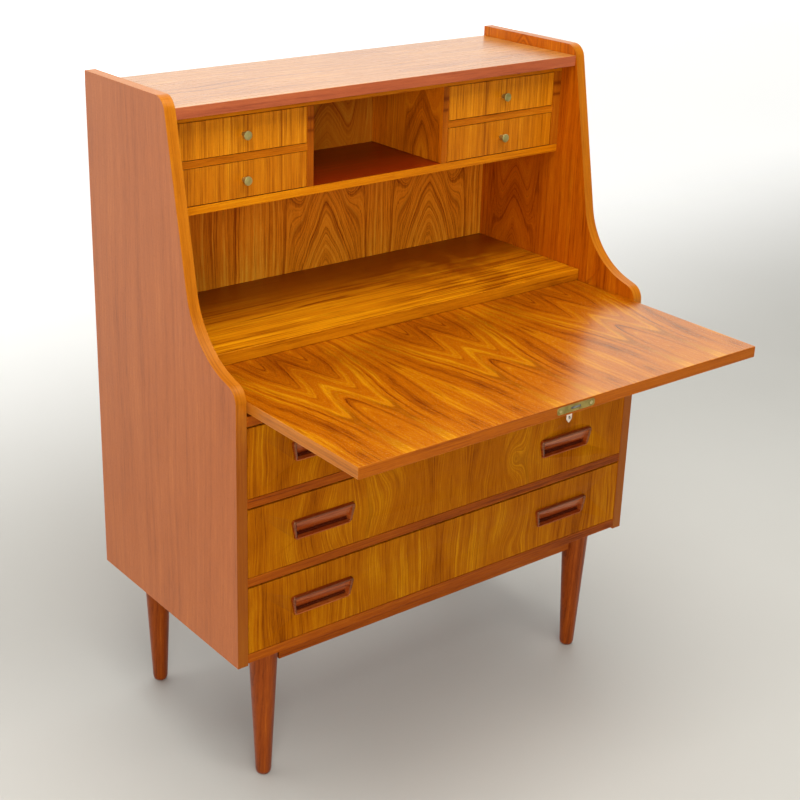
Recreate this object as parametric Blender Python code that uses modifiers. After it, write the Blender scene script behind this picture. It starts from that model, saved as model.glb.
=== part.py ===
"""Drop-front secretary desk in teak: a case of three drawers on turned legs, a writing flap that folds
up between two curved side panels, and a small organiser of four drawers and a pigeonhole above it.

Metres, +Z up, the front towards -Y. The floor is at z = 0 and the origin is in the middle of the plan,
flap open. Depths in the dimensions below are measured back from the front plane of the drawers.
"""

import math

import bmesh
import bpy

# ---------------------------------------------------------------- driving dimensions

GAP = 0.0003  # play between pieces that touch
CUT_PAST = 0.001  # how far a cutter reaches past the face that it opens
BOARD_ROUND = 0.0008  # rounding of the boards' edges
FRONT_ROUND = 0.0006  # rounding of the drawer fronts' edges

WIDTH = 0.880  # over the side panels
DEPTH = 0.444  # drawer fronts to the rear edges of the side panels
HEIGHT = 1.156  # floor to the top of the side panels
FLAP_REACH = 0.280  # the open flap stands this far in front of the drawers

SIDE_THICKNESS = 0.0198
SIDE_LOW = 0.2565  # bottom edge of a side panel
SIDE_LEAN = math.radians(11.0)  # slope of its upper front edge, back from upright
SIDE_SHOULDER_SLOPE = math.radians(15.6)  # slope of the short shoulder in front
SIDE_SHOULDER_HEIGHT = 0.7415  # where the shoulder would meet the front edge
SIDE_LEAN_FOOT = (0.1210, 0.7755)  # where shoulder and sloped edge would meet
SIDE_SWEEP_RADIUS = 0.143  # hollow curve between shoulder and slope
SIDE_NOSE_RADIUS = 0.027
SIDE_TOP_RADIUS = 0.026
SIDE_EDGE_ROUND = 0.0025
SIDE_CURVE_STEPS = 16  # straight pieces in each of its curves

BOARD_LOW = 0.2605  # underside of the case's bottom board
BOTTOM_THICKNESS = 0.017
DRAWER_HEIGHT = 0.1205
DRAWER_GAP_ABOVE = 0.003
DRAWER_GAP_BELOW = 0.0005
DRAWER_SIDE_GAP = 0.001
RAIL_THICKNESS = 0.016
RAIL_DEPTH = 0.060
RUNNER_WIDTH = 0.034
LEDGE_THICKNESS = 0.017
LEDGE_DEPTH = 0.1107  # ends just in front of the closed flap's tail
DRAWER_NAMES = ("bottom", "middle", "top")

BACK_FACE = 0.4265  # inner face of the back panel
BACK_THICKNESS = 0.008

FLAP_THICKNESS = 0.0192
FLAP_TOP = 0.7240
FLAP_SIDE_GAP = 0.0012
FLAP_TAIL = 0.035  # flap behind its hinge, under the deck
PIVOT_DEPTH = 0.1273
PIN_RADIUS = 0.004
PIN_IN_SIDE = 0.012
PIN_IN_FLAP = 0.020
PIN_PLAY = 0.0001

DECK_FRONT = 0.1432
DECK_THICKNESS = 0.0205

TOP_FRONT = 0.1918
TOP_THICKNESS = 0.0186
TOP_SURFACE = 1.1377

ORGANISER_FRONT = 0.2253
ORGANISER_LOW = 0.9548
ORGANISER_BOARD = 0.0139
ORGANISER_SIDE = 0.0178
SHELF_THICKNESS = 0.0120
DIVIDER_THICKNESS = 0.0131
PIGEONHOLE_HALF_WIDTH = 0.1383

SMALL_DRAWER_GAP = 0.0010
SMALL_FRONT_THICKNESS = 0.010
SMALL_WALL = 0.006
SMALL_FLOOR = 0.004
SMALL_TRAY_DEPTH = 0.180
SMALL_TRAY_PLAY = 0.001  # under the tray, and at its sides together
SMALL_TRAY_DROP = 0.010  # how much lower than its front the tray is

FRONT_THICKNESS = 0.020
BOX_WALL = 0.010
BOX_FLOOR = 0.005
BOX_HEIGHT = 0.088
BOX_DEPTH = 0.375
BOX_SIDE_GAP = 0.004

PULL_OFFSET = 0.2725  # from the middle of the drawer
PULL_TOP_WIDTH = 0.1295
PULL_BOTTOM_WIDTH = 0.1135
PULL_HEIGHT = 0.037
PULL_CORNER = 0.0055
PULL_PROUD = 0.0050
PULL_SET_IN = 0.0125
PULL_RIM = 0.0055
PULL_LIP = 0.0030
PULL_UNDERCUT = 0.0014
PULL_FLOOR_LOW = 0.0095  # how deep behind the drawer's face its floor ends
PULL_ROUND = 0.0022

KNOB_DISC_RADIUS = 0.0075
KNOB_DISC_THICKNESS = 0.0024
KNOB_CHAMFER = 0.0006
KNOB_CONE_RADIUS = 0.0062  # of its cone where it meets the disc
KNOB_FOOT_RADIUS = 0.0036  # of its cone at the drawer
KNOB_PROUD = 0.0150
KNOB_TENON_RADIUS = 0.0020
KNOB_TENON = 0.006
KNOB_SIDES = 28

LEG_X = 0.3630
LEG_FRONT = 0.0425
LEG_REAR = 0.3950
LEG_TOP_RADIUS = 0.0255
LEG_FOOT_RADIUS = 0.0137
LEG_FOOT_HEIGHT = 0.009  # the taper ends here
LEG_FOOT_ROUND = 0.0045
LEG_SIDES = 40
APRON_THICKNESS = 0.020
APRON_HEIGHT = 0.038

LOCK_PLATE = (0.080, 0.0016, 0.0125)  # width, thickness, height
LOCK_PLATE_ROUND = 0.0050  # at its corners
LOCK_CASE = (0.056, 0.034, 0.0092)
FLAP_BOLT = (0.020, 0.022, 0.0036)
FLAP_BOLT_THROW = 0.009
BOLT_PLAY = 0.0004  # round a bolt in its lock
STRIKE_PLATE = (0.046, 0.014, 0.0012)
STRIKE_PLAY = 0.0015  # at each end of the bolt in the strike plate
STRIKE_SLOT = 0.008
STRIKE_POCKET = (0.010, 0.011)  # depth and height of the hollow above the plate

DRAWER_LOCK_X = 0.2769
DRAWER_LOCK_CASE = (0.044, 0.0110, 0.036)
DRAWER_BOLT = (0.015, 0.0036, 0.022)
DRAWER_BOLT_SUNK = 0.0008  # below the top of the drawer front
DRAWER_BOLT_MORTISE = 0.007  # both the width and the height of its hole in the frame
DRAWER_LOCK_SUNK = 0.0005
ESCUTCHEON_WIDTH = 0.0137
ESCUTCHEON_HEIGHT = 0.0190
ESCUTCHEON_THICKNESS = 0.0020
ESCUTCHEON_PROUD = 0.0006
ESCUTCHEON_DROP = 0.0035  # below the top of the drawer front
ESCUTCHEON_INSET = 0.024  # from the flap's front edge
KEYHOLE_RISE = 0.0028  # above the middle of the escutcheon
KEYHOLE_RADIUS = 0.0019

# ---------------------------------------------------------------- derived levels

HALF_INSIDE = WIDTH / 2 - SIDE_THICKNESS
HALF_BOARD = HALF_INSIDE - GAP
FLOOR_TOP = BOARD_LOW + BOTTOM_THICKNESS
BAY = DRAWER_GAP_BELOW + DRAWER_HEIGHT + DRAWER_GAP_ABOVE
PITCH = BAY + RAIL_THICKNESS
LEDGE_LOW = FLOOR_TOP + 3 * BAY + 2 * RAIL_THICKNESS
INNER_BACK = BACK_FACE - GAP
PIVOT_HEIGHT = FLAP_TOP - FLAP_THICKNESS / 2
TOP_LOW = TOP_SURFACE - TOP_THICKNESS
ORGANISER_FLOOR = ORGANISER_LOW + ORGANISER_BOARD
ORGANISER_CEILING = TOP_LOW - GAP - ORGANISER_BOARD
SHELF_LOW = (ORGANISER_FLOOR + ORGANISER_CEILING - SHELF_THICKNESS) / 2
SMALL_BAY_INNER = PIGEONHOLE_HALF_WIDTH + DIVIDER_THICKNESS
SMALL_BAY_OUTER = HALF_BOARD - ORGANISER_SIDE
PLAN_CENTRE = (DEPTH - FLAP_REACH) / 2  # depth of the origin behind the drawer fronts

# ---------------------------------------------------------------- scene and materials


def clear_scene():
    for obj in list(bpy.data.objects):
        bpy.data.objects.remove(obj, do_unlink=True)


def collection(name):
    made = bpy.data.collections.new(name)
    bpy.context.scene.collection.children.link(made)
    return made


def material(name, colour, roughness, metallic=0.0):
    made = bpy.data.materials.new(name)
    made.use_nodes = True
    shader = made.node_tree.nodes["Principled BSDF"]
    shader.inputs["Base Color"].default_value = (*colour, 1.0)
    shader.inputs["Roughness"].default_value = roughness
    shader.inputs["Metallic"].default_value = metallic
    made.diffuse_color = (*colour, 1.0)
    return made


clear_scene()
PARTS = collection("secretary_desk")
CUTTERS = collection("cutters")

TEAK_SIDE = material("teak_side", (0.42, 0.15, 0.06), 0.40)
TEAK_FRONT = material("teak_front", (0.43, 0.17, 0.03), 0.38)
TEAK_FLAP = material("teak_flap", (0.55, 0.20, 0.03), 0.32)
TEAK_INSIDE = material("teak_inside", (0.45, 0.17, 0.03), 0.40)
TEAK_SOLID = material("teak_solid", (0.30, 0.07, 0.02), 0.40)
TEAK_DARK = material("teak_dark", (0.14, 0.03, 0.015), 0.30)
DRAWER_WOOD = material("drawer_wood", (0.62, 0.45, 0.26), 0.55)
BRASS = material("brass", (0.55, 0.48, 0.22), 0.35, 1.0)
STEEL = material("steel", (0.45, 0.44, 0.42), 0.40, 1.0)
BONE = material("bone", (0.80, 0.74, 0.66), 0.40)

# ---------------------------------------------------------------- building helpers


def empty(name, place, parent=None):
    """A pivot or datum that pieces hang from; place is in the desk's own depths."""
    made = bpy.data.objects.new(name, None)
    PARTS.objects.link(made)
    made.empty_display_size = 0.03
    attach(made, place, parent)
    return made


def attach(obj, place, parent):
    """Puts obj at a place measured in the desk's own depths, under a parent datum."""
    obj["place"] = place
    origin = parent["place"] if parent else (0.0, PLAN_CENTRE, 0.0)
    obj.parent = parent
    obj.location = [a - b for a, b in zip(place, origin)]


def add(name, mesh, place, finish, parent):
    obj = bpy.data.objects.new(name, mesh)
    PARTS.objects.link(obj)
    attach(obj, place, parent)
    if not mesh.materials:
        mesh.materials.append(finish)
    return obj


def box_mesh(name, size):
    """A box about its own middle."""
    mesh = bpy.data.meshes.new(name)
    solid = bmesh.new()
    bmesh.ops.create_cube(solid, size=1.0)
    bmesh.ops.scale(solid, vec=size, verts=solid.verts)
    solid.to_mesh(mesh)
    solid.free()
    return mesh


def box(name, low, high, finish, parent):
    """A board or block between two corners."""
    size = [b - a for a, b in zip(low, high)]
    middle = [(a + b) / 2 for a, b in zip(low, high)]
    return add(name, box_mesh(name, size), middle, finish, parent)


def cylinder_mesh(name, radius, length, axis, sides=24):
    """A cylinder about its own middle, along X, Y or Z."""
    mesh = bpy.data.meshes.new(name)
    solid = bmesh.new()
    bmesh.ops.create_cone(solid, cap_ends=True, segments=sides, radius1=radius, radius2=radius, depth=length)
    for vertex in solid.verts:
        x, y, z = vertex.co
        vertex.co = {"X": (z, x, y), "Y": (y, z, x), "Z": (x, y, z)}[axis]
    solid.to_mesh(mesh)
    solid.free()
    mesh.shade_smooth()
    mesh.set_sharp_from_angle(angle=math.radians(40))
    return mesh


def fillet(corners, radii, steps=6):
    """A closed outline through the corners, each rounded by its own radius."""
    outline = []
    count = len(corners)
    for i, (corner, radius) in enumerate(zip(corners, radii)):
        if radius == 0:
            outline.append(corner)
            continue
        before, after = corners[i - 1], corners[(i + 1) % count]
        to_before = math.atan2(before[1] - corner[1], before[0] - corner[0])
        to_after = math.atan2(after[1] - corner[1], after[0] - corner[0])
        spread = (to_after - to_before + math.pi) % (2 * math.pi) - math.pi
        bisector = to_before + spread / 2
        reach = radius / math.sin(abs(spread) / 2)
        centre = (corner[0] + reach * math.cos(bisector), corner[1] + reach * math.sin(bisector))
        sweep = math.pi - abs(spread)
        start = bisector + math.pi + math.copysign(sweep / 2, spread)
        for step in range(steps + 1):
            angle = start - math.copysign(sweep, spread) * step / steps
            outline.append((centre[0] + radius * math.cos(angle), centre[1] + radius * math.sin(angle)))
    return outline


def slab_mesh(name, outline, thickness):
    """A flat outline in local X and Y, extruded about its plane."""
    curve = bpy.data.curves.new(name, "CURVE")
    curve.dimensions = "2D"
    curve.fill_mode = "BOTH"
    curve.extrude = thickness / 2
    spline = curve.splines.new("POLY")
    spline.points.add(len(outline) - 1)
    for point, (x, y) in zip(spline.points, outline):
        point.co = (x, y, 0.0, 1.0)
    spline.use_cyclic_u = True
    holder = bpy.data.objects.new(name, curve)
    PARTS.objects.link(holder)
    depsgraph = bpy.context.evaluated_depsgraph_get()
    mesh = bpy.data.meshes.new_from_object(holder.evaluated_get(depsgraph))
    bpy.data.objects.remove(holder, do_unlink=True)
    solid = bmesh.new()
    solid.from_mesh(mesh)
    bmesh.ops.remove_doubles(solid, verts=solid.verts, dist=1e-6)
    bmesh.ops.recalc_face_normals(solid, faces=solid.faces)
    solid.to_mesh(mesh)
    solid.free()
    return mesh


def remap(mesh, rule):
    """Moves every point of a mesh by a rule, and keeps its faces pointing out."""
    solid = bmesh.new()
    solid.from_mesh(mesh)
    for vertex in solid.verts:
        vertex.co = rule(*vertex.co)
    solid.normal_update()
    bmesh.ops.recalc_face_normals(solid, faces=solid.faces)
    solid.to_mesh(mesh)
    solid.free()
    return mesh


def bevel(obj, width, segments=2):
    rounded = obj.modifiers.new("rounded_edges", "BEVEL")
    rounded.width = width
    rounded.segments = segments
    rounded.limit_method = "ANGLE"
    rounded.angle_limit = math.radians(40)


def cut(obj, cutter_mesh, place):
    """Takes a cutter, put at a place in the desk's own depths, out of a piece."""
    cutter = bpy.data.objects.new(obj.name + "_cutter", cutter_mesh)
    CUTTERS.objects.link(cutter)
    attach(cutter, place, obj.parent)
    cutter.hide_render = True
    cutter.display_type = "WIRE"
    hollow = obj.modifiers.new("cut", "BOOLEAN")
    hollow.operation = "DIFFERENCE"
    hollow.solver = "EXACT"
    hollow.object = cutter


def cut_box(obj, low, high):
    size = [b - a for a, b in zip(low, high)]
    middle = [(a + b) / 2 for a, b in zip(low, high)]
    cut(obj, box_mesh("cutter", size), middle)


def join(obj, mesh, place):
    """Unites another solid with a piece."""
    other = bpy.data.objects.new(obj.name + "_addition", mesh)
    CUTTERS.objects.link(other)
    attach(other, place, obj.parent)
    other.hide_render = True
    other.display_type = "WIRE"
    union = obj.modifiers.new("join", "BOOLEAN")
    union.operation = "UNION"
    union.solver = "EXACT"
    union.object = other


def baked(obj):
    """The mesh of a piece with its modifiers, for copies to share."""
    depsgraph = bpy.context.evaluated_depsgraph_get()
    mesh = bpy.data.meshes.new_from_object(obj.evaluated_get(depsgraph))
    bpy.data.objects.remove(obj, do_unlink=True)
    return mesh


def turned_mesh(name, profile, sides):
    """A turned solid about Z, from a profile of (radius, height) given top to bottom, closed on the axis."""
    line = bpy.data.meshes.new(name)
    points = [(radius, 0.0, height) for radius, height in profile]
    line.from_pydata(points, [(i, i + 1) for i in range(len(points) - 1)], [])
    holder = bpy.data.objects.new(name, line)
    PARTS.objects.link(holder)
    screw = holder.modifiers.new("turn", "SCREW")
    screw.axis = "Z"
    screw.steps = sides
    screw.render_steps = sides
    screw.use_merge_vertices = True
    screw.merge_threshold = 0.00001
    mesh = baked(holder)
    mesh.shade_smooth()
    mesh.set_sharp_from_angle(angle=math.radians(35))
    return mesh


# ---------------------------------------------------------------- case


def side_outline():
    """The side panel seen from the side, as (depth, height)."""
    rise = HEIGHT - SIDE_LEAN_FOOT[1]
    top_corner = (SIDE_LEAN_FOOT[0] + rise * math.tan(SIDE_LEAN), HEIGHT)
    corners = [
        (0.0, SIDE_LOW),
        (0.0, SIDE_SHOULDER_HEIGHT),
        SIDE_LEAN_FOOT,
        top_corner,
        (DEPTH, HEIGHT),
        (DEPTH, SIDE_LOW),
    ]
    radii = [0, SIDE_NOSE_RADIUS, SIDE_SWEEP_RADIUS, SIDE_TOP_RADIUS, 0, 0]
    return fillet(corners, radii, SIDE_CURVE_STEPS)


def make_sides():
    for name, side in (("side_left", -1), ("side_right", 1)):
        mesh = slab_mesh(name, side_outline(), SIDE_THICKNESS)
        remap(mesh, lambda x, y, z: (z, x, y))
        middle = side * (WIDTH - SIDE_THICKNESS) / 2
        panel = add(name, mesh, (middle, 0.0, 0.0), TEAK_SIDE, DESK)
        bevel(panel, SIDE_EDGE_ROUND)
        hole_depth = PIN_IN_SIDE + GAP
        hole = cylinder_mesh("pin_hole", PIN_RADIUS + PIN_PLAY, 2 * hole_depth, "X")
        cut(panel, hole, (side * HALF_INSIDE, PIVOT_DEPTH, PIVOT_HEIGHT))


def rail_low(index):
    """Underside of the frame above drawer number index."""
    return FLOOR_TOP + (index + 1) * BAY + index * RAIL_THICKNESS


def make_case():
    make_sides()
    top = box(
        "top_board",
        (-HALF_BOARD, TOP_FRONT, TOP_LOW),
        (HALF_BOARD, DEPTH - GAP, TOP_SURFACE),
        TEAK_SIDE,
        DESK,
    )
    bevel(top, BOARD_ROUND)
    strike_middle = strike_place()
    half = STRIKE_PLATE[0] / 2 + GAP
    cut_box(
        top,
        (-half, strike_middle - STRIKE_PLATE[1] / 2 - GAP, TOP_LOW - CUT_PAST),
        (half, strike_middle + STRIKE_PLATE[1] / 2 + GAP, TOP_LOW + STRIKE_PLATE[2] + GAP),
    )
    pocket_half = FLAP_BOLT[0] / 2 + 2 * STRIKE_PLAY
    pocket_depth, pocket_height = STRIKE_POCKET
    cut_box(
        top,
        (-pocket_half, strike_middle - pocket_depth / 2, TOP_LOW + STRIKE_PLATE[2] - CUT_PAST),
        (pocket_half, strike_middle + pocket_depth / 2, TOP_LOW + pocket_height),
    )
    box(
        "back_panel",
        (-HALF_BOARD, BACK_FACE, BOARD_LOW + GAP),
        (HALF_BOARD, BACK_FACE + BACK_THICKNESS, TOP_LOW - GAP),
        TEAK_INSIDE,
        DESK,
    )
    deck = box(
        "deck",
        (-HALF_BOARD, DECK_FRONT, FLAP_TOP + GAP),
        (HALF_BOARD, INNER_BACK, FLAP_TOP + GAP + DECK_THICKNESS),
        TEAK_INSIDE,
        DESK,
    )
    bevel(deck, BOARD_ROUND)
    ledge = box(
        "ledge_board",
        (-HALF_BOARD, 0.0, LEDGE_LOW),
        (HALF_BOARD, LEDGE_DEPTH, LEDGE_LOW + LEDGE_THICKNESS),
        TEAK_SOLID,
        DESK,
    )
    bevel(ledge, BOARD_ROUND)
    box("bottom_board", (-HALF_BOARD, 0.0, BOARD_LOW), (HALF_BOARD, INNER_BACK, FLOOR_TOP), TEAK_SOLID, DESK)
    for index, name in enumerate(("drawer_frame_lower", "drawer_frame_upper")):
        low = rail_low(index)
        high = low + RAIL_THICKNESS
        frame = box(name, (-HALF_BOARD, 0.0, low), (HALF_BOARD, INNER_BACK, high), TEAK_SOLID, DESK)
        inside = HALF_BOARD - RUNNER_WIDTH
        opening_high = (inside, INNER_BACK + CUT_PAST, high + CUT_PAST)
        cut_box(frame, (-inside, RAIL_DEPTH, low - CUT_PAST), opening_high)
        if name == "drawer_frame_upper":
            half = DRAWER_BOLT[0] / 2 + STRIKE_PLAY
            middle = drawer_bolt_depth()
            cut_box(
                frame,
                (DRAWER_LOCK_X - half, middle - DRAWER_BOLT_MORTISE / 2, low - CUT_PAST),
                (DRAWER_LOCK_X + half, middle + DRAWER_BOLT_MORTISE / 2, low + DRAWER_BOLT_MORTISE),
            )


# ---------------------------------------------------------------- base


def make_base():
    top = BOARD_LOW - GAP
    profile = [
        (0.0, top),
        (LEG_TOP_RADIUS, top),
        (LEG_FOOT_RADIUS, LEG_FOOT_HEIGHT),
        (LEG_FOOT_RADIUS - LEG_FOOT_ROUND / 4, LEG_FOOT_HEIGHT / 3),
        (LEG_FOOT_RADIUS - LEG_FOOT_ROUND, 0.0),
        (0.0, 0.0),
    ]
    leg_mesh = turned_mesh("leg", profile, LEG_SIDES)
    for row, depth in (("front", LEG_FRONT), ("rear", LEG_REAR)):
        for hand, side in (("left", -1), ("right", 1)):
            add(f"leg_{row}_{hand}", leg_mesh, (side * LEG_X, depth, 0.0), TEAK_SOLID, DESK)
    low, high = top - APRON_HEIGHT, top
    half = APRON_THICKNESS / 2
    clear = LEG_TOP_RADIUS + GAP
    for name, depth in (("apron_front", LEG_FRONT), ("apron_rear", LEG_REAR)):
        corner = (-LEG_X + clear, depth - half, low)
        box(name, corner, (LEG_X - clear, depth + half, high), TEAK_SOLID, DESK)
    for name, side in (("apron_left", -1), ("apron_right", 1)):
        corner = (side * LEG_X - half, LEG_FRONT + clear, low)
        box(name, corner, (side * LEG_X + half, LEG_REAR - clear, high), TEAK_SOLID, DESK)


# ---------------------------------------------------------------- organiser


def make_organiser():
    front, back = ORGANISER_FRONT, INNER_BACK
    floor, ceiling = ORGANISER_FLOOR, ORGANISER_CEILING
    box("organiser_base", (-HALF_BOARD, front, ORGANISER_LOW), (HALF_BOARD, back, floor), TEAK_FRONT, DESK)
    box("organiser_top", (-HALF_BOARD, front, ceiling), (HALF_BOARD, back, TOP_LOW - GAP), TEAK_FRONT, DESK)
    for hand, side in (("left", -1), ("right", 1)):
        uprights = (
            ("divider", PIGEONHOLE_HALF_WIDTH, SMALL_BAY_INNER),
            ("side", SMALL_BAY_OUTER, HALF_BOARD),
        )
        for kind, inner, outer in uprights:
            x = sorted((side * inner, side * outer))
            low = (x[0], front, floor + GAP)
            box(f"organiser_{kind}_{hand}", low, (x[1], back, ceiling - GAP), TEAK_FRONT, DESK)
        x = sorted((side * (SMALL_BAY_INNER + GAP), side * (SMALL_BAY_OUTER - GAP)))
        low = (x[0], front, SHELF_LOW)
        box(f"organiser_shelf_{hand}", low, (x[1], back, SHELF_LOW + SHELF_THICKNESS), TEAK_SOLID, DESK)


def knob_mesh():
    """A brass knob: a disc on a cone in front of the face, and the tenon behind that holds it."""
    top = KNOB_PROUD
    disc = KNOB_DISC_RADIUS
    under = top - KNOB_DISC_THICKNESS
    profile = [
        (0.0, top),
        (disc - KNOB_CHAMFER, top),
        (disc, top - KNOB_CHAMFER),
        (disc, under),
        (KNOB_CONE_RADIUS, under - KNOB_CHAMFER),
        (KNOB_FOOT_RADIUS, GAP),
        (KNOB_TENON_RADIUS, GAP),
        (KNOB_TENON_RADIUS, -KNOB_TENON),
        (0.0, -KNOB_TENON),
    ]
    mesh = turned_mesh("knob", profile, KNOB_SIDES)
    return remap(mesh, lambda x, y, z: (x, -z, y))


def tray_mesh(width, depth, height, wall, floor):
    """A drawer's box about the middle of its front edge, open on top and towards the front piece."""
    block = box_mesh("tray", (width, depth, height))
    tray = add("tray", block, (0.0, depth / 2, height / 2), DRAWER_WOOD, None)
    inside = width / 2 - wall
    cut_box(tray, (-inside, -CUT_PAST, floor), (inside, depth - wall, height + CUT_PAST))
    mesh = baked(tray)
    mesh.materials.clear()
    return remap(mesh, lambda x, y, z: (x, y + depth / 2, z + height / 2))


def make_small_drawers():
    width = SMALL_BAY_OUTER - SMALL_BAY_INNER - 2 * SMALL_DRAWER_GAP
    levels = {
        "lower": (ORGANISER_FLOOR + SMALL_DRAWER_GAP, SHELF_LOW - SMALL_DRAWER_GAP),
        "upper": (SHELF_LOW + SHELF_THICKNESS + SMALL_DRAWER_GAP, ORGANISER_CEILING - SMALL_DRAWER_GAP),
    }
    height = levels["lower"][1] - levels["lower"][0]
    thickness = SMALL_FRONT_THICKNESS
    blank = add("blank", box_mesh("small_front", (width, thickness, height)), (0, 0, 0), TEAK_FRONT, None)
    bevel(blank, FRONT_ROUND, 1)
    hole = cylinder_mesh("tenon_hole", KNOB_TENON_RADIUS + GAP, 2 * (KNOB_TENON + GAP), "Y", 16)
    cut(blank, hole, (0.0, -thickness / 2, 0.0))
    front_mesh = baked(blank)
    tray_width = width - SMALL_TRAY_PLAY
    tray = tray_mesh(tray_width, SMALL_TRAY_DEPTH, height - SMALL_TRAY_DROP, SMALL_WALL, SMALL_FLOOR)
    knob = knob_mesh()
    middle = (SMALL_BAY_INNER + SMALL_BAY_OUTER) / 2
    for hand, side in (("left", -1), ("right", 1)):
        for level, (low, high) in levels.items():
            face = (side * middle, ORGANISER_FRONT, (low + high) / 2)
            name = f"{level}_{hand}"
            datum = empty(f"small_drawer_{name}_slide", face, DESK)
            front_middle = (face[0], face[1] + thickness / 2, face[2])
            add(f"small_front_{name}", front_mesh, front_middle, TEAK_FRONT, datum)
            tray_corner = (face[0], face[1] + thickness + GAP, low + SMALL_TRAY_PLAY)
            add(f"small_tray_{name}", tray, tray_corner, DRAWER_WOOD, datum)
            add(f"knob_{name}", knob, face, BRASS, datum)


# ---------------------------------------------------------------- large drawers


def pull_outline(grow):
    """The pull's outline across the drawer's face, as (across, up), grown by a margin."""
    high = PULL_HEIGHT / 2
    corners = [
        (-PULL_BOTTOM_WIDTH / 2 - grow, -high - grow),
        (PULL_BOTTOM_WIDTH / 2 + grow, -high - grow),
        (PULL_TOP_WIDTH / 2 + grow, high + grow),
        (-PULL_TOP_WIDTH / 2 - grow, high + grow),
    ]
    return fillet(corners, [PULL_CORNER] * 4, 4)


def pull_mesh():
    """A sculpted pull: a raised frame whose floor slopes back to an undercut behind a thin lower lip."""
    depth = PULL_PROUD + PULL_SET_IN
    shift = (PULL_SET_IN - PULL_PROUD) / 2
    block_mesh = slab_mesh("pull", pull_outline(0.0), depth)
    remap(block_mesh, lambda x, y, z: (x, z + shift, y))
    block = add("pull_blank", block_mesh, (0, 0, 0), TEAK_DARK, None)
    bevel(block, PULL_ROUND)
    high = PULL_HEIGHT / 2
    lip = -high + PULL_LIP
    mouth = -PULL_PROUD - CUT_PAST
    hollow = [
        (mouth, high - PULL_RIM),
        (-PULL_PROUD + CUT_PAST, high - PULL_RIM),
        (PULL_FLOOR_LOW, lip + PULL_RIM),
        (PULL_FLOOR_LOW, lip - PULL_UNDERCUT),
        (0.0, lip - PULL_UNDERCUT),
        (-PULL_UNDERCUT, lip),
        (mouth, lip),
    ]
    cutter = slab_mesh("pull_hollow", hollow, 2.0)

    def inner_half_width(up):
        share = (up + high) / PULL_HEIGHT
        return (PULL_BOTTOM_WIDTH + share * (PULL_TOP_WIDTH - PULL_BOTTOM_WIDTH)) / 2 - PULL_RIM

    remap(cutter, lambda x, y, z: (math.copysign(inner_half_width(y), z), x, y))
    cut(block, cutter, (0, 0, 0))
    return baked(block)


def drawer_low(index):
    return FLOOR_TOP + index * PITCH + DRAWER_GAP_BELOW


def make_large_drawers():
    width = 2 * (HALF_INSIDE - DRAWER_SIDE_GAP)
    pull = pull_mesh()
    box_width = 2 * (HALF_INSIDE - BOX_SIDE_GAP)
    tray = tray_mesh(box_width, BOX_DEPTH, BOX_HEIGHT, BOX_WALL, BOX_FLOOR)
    for index, level in enumerate(DRAWER_NAMES):
        low = drawer_low(index)
        middle = low + DRAWER_HEIGHT / 2
        datum = empty(f"drawer_{level}_slide", (0.0, 0.0, middle), DESK)
        front = box(
            f"drawer_front_{level}",
            (-width / 2, 0.0, low),
            (width / 2, FRONT_THICKNESS, low + DRAWER_HEIGHT),
            TEAK_FRONT,
            datum,
        )
        bevel(front, FRONT_ROUND, 1)
        add(f"drawer_box_{level}", tray, (0.0, FRONT_THICKNESS + GAP, low + GAP), DRAWER_WOOD, datum)
        for hand, side in (("left", -1), ("right", 1)):
            place = (side * PULL_OFFSET, 0.0, middle)
            mortise = slab_mesh("pull_mortise", pull_outline(GAP), 2 * (PULL_SET_IN + GAP))
            remap(mortise, lambda x, y, z: (x, z, y))
            cut(front, mortise, place)
            add(f"pull_{level}_{hand}", pull, place, TEAK_DARK, datum)
        if level == "middle":
            make_drawer_lock(front, low + DRAWER_HEIGHT, datum)


# ---------------------------------------------------------------- locks


def keyhole_mesh(length):
    """A keyhole cutter along Y: a round hole with a slot below it, about its own middle."""
    half = KEYHOLE_RADIUS * 0.5
    outline = [(half, -KEYHOLE_RADIUS * 2.4), (half, -KEYHOLE_RADIUS * 0.866)]
    for step in range(13):
        angle = math.radians(-60 + 300 * step / 12)
        outline.append((KEYHOLE_RADIUS * math.cos(angle), KEYHOLE_RADIUS * math.sin(angle)))
    outline += [(-half, -KEYHOLE_RADIUS * 0.866), (-half, -KEYHOLE_RADIUS * 2.4)]
    unique = [p for i, p in enumerate(outline) if math.dist(p, outline[i - 1]) > 1e-6]
    mesh = slab_mesh("keyhole", unique, length)
    return remap(mesh, lambda x, y, z: (x, z, y))


def escutcheon_outline(grow):
    """A shield with a flat top and a pointed foot, as (across, up)."""
    half, high = ESCUTCHEON_WIDTH / 2 + grow, ESCUTCHEON_HEIGHT / 2 + grow
    corners = [(half, high), (-half, high), (-half, -high * 0.15), (0.0, -high), (half, -high * 0.15)]
    return fillet(corners, [0.0006, 0.0006, 0.0030, 0.0012, 0.0030], 2)


def escutcheon_mesh():
    mesh = slab_mesh("escutcheon", escutcheon_outline(0.0), ESCUTCHEON_THICKNESS)
    shift = ESCUTCHEON_THICKNESS / 2 - ESCUTCHEON_PROUD
    remap(mesh, lambda x, y, z: (x, z + shift, y))
    plate = add("escutcheon_blank", mesh, (0, 0, 0), BONE, None)
    cut(plate, keyhole_mesh(4 * ESCUTCHEON_THICKNESS), (0.0, 0.0, KEYHOLE_RISE))
    return baked(plate)


def escutcheon_pocket_mesh():
    depth = ESCUTCHEON_THICKNESS - ESCUTCHEON_PROUD + GAP
    mesh = slab_mesh("escutcheon_pocket", escutcheon_outline(GAP), 2 * depth)
    return remap(mesh, lambda x, y, z: (x, z, y))


def drawer_bolt_depth():
    """How far behind the drawer's face its bolt runs."""
    return FRONT_THICKNESS - DRAWER_LOCK_CASE[1] / 2


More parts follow.
